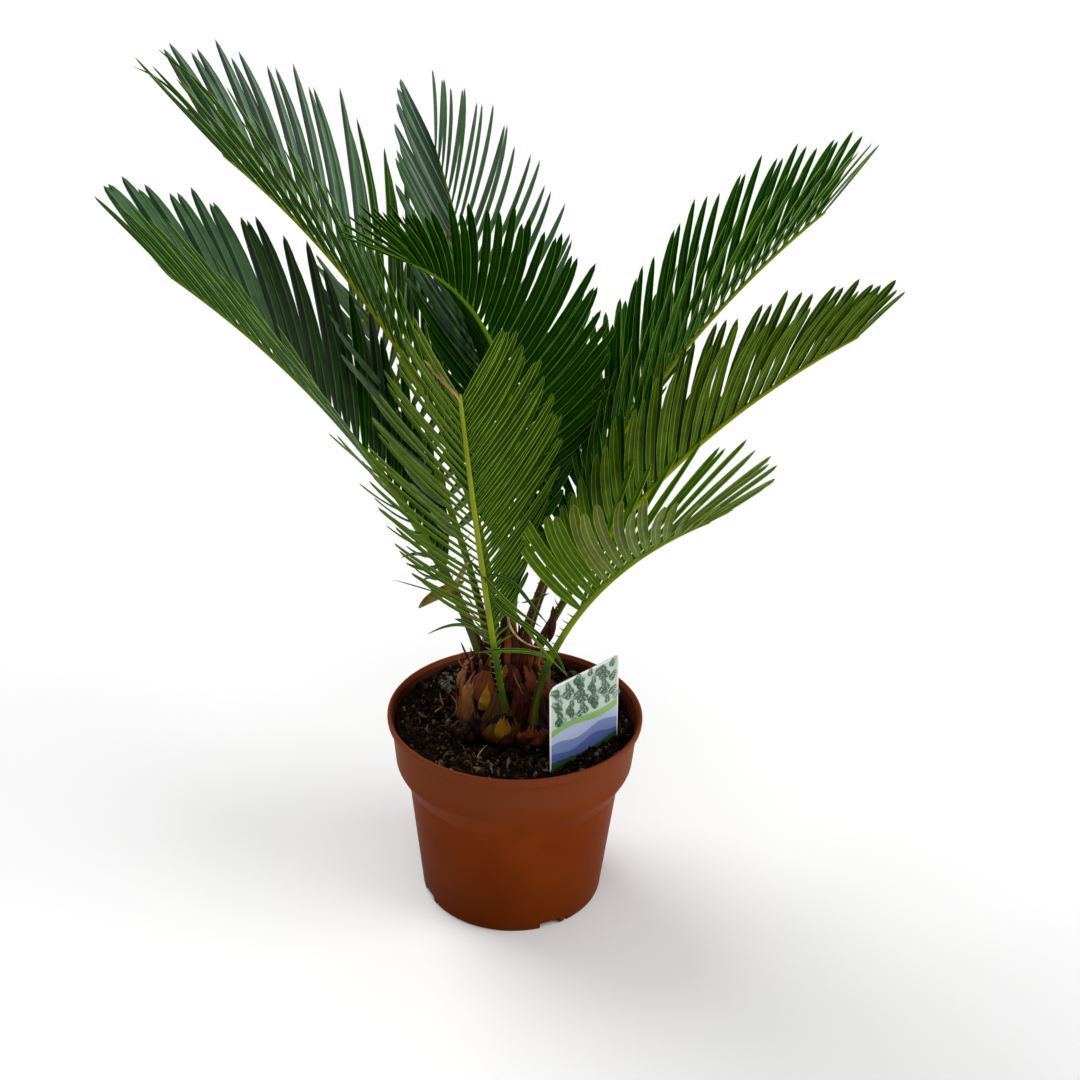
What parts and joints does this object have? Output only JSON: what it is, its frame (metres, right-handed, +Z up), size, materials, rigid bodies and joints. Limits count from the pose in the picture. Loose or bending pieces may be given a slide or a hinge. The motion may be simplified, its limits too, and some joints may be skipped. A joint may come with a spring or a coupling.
{
  "type": "potted sago palm",
  "caption": "Young sago palm with stiff feather fronds rising from a short scaly stem, offset bulbs at its foot, in a round nursery pot of soil with a plant label.",
  "frame": {"origin": "centre of the pot's flat underside", "axes": "+Z up along the pot's axis, +X to the right and +Y to the rear as seen from the front"},
  "size_m": [0.3707, 0.3487, 0.4507],
  "materials": {
    "pot": "satin",
    "soil": "matte",
    "stem": "matte",
    "bulb": "matte",
    "frond": "satin",
    "label": "gloss"
  },
  "bodies": {
    "root": {"pot": "pot", "soil": "soil", "stem": "stem", "offset_bulb_front": "bulb", "offset_bulb_right": "bulb", "offset_bulb_left": "bulb", "plant_label": "label", "frond_front": "frond", "frond_right_front": "frond", "frond_centre": "frond", "frond_left_high": "frond", "frond_left": "frond", "frond_right_high": "frond", "frond_right": "frond", "frond_rear_high": "frond", "frond_rear_left": "frond", "frond_rear_right": "frond", "frond_rear": "frond", "frond_right_rear": "frond"}
  },
  "joints": []
}
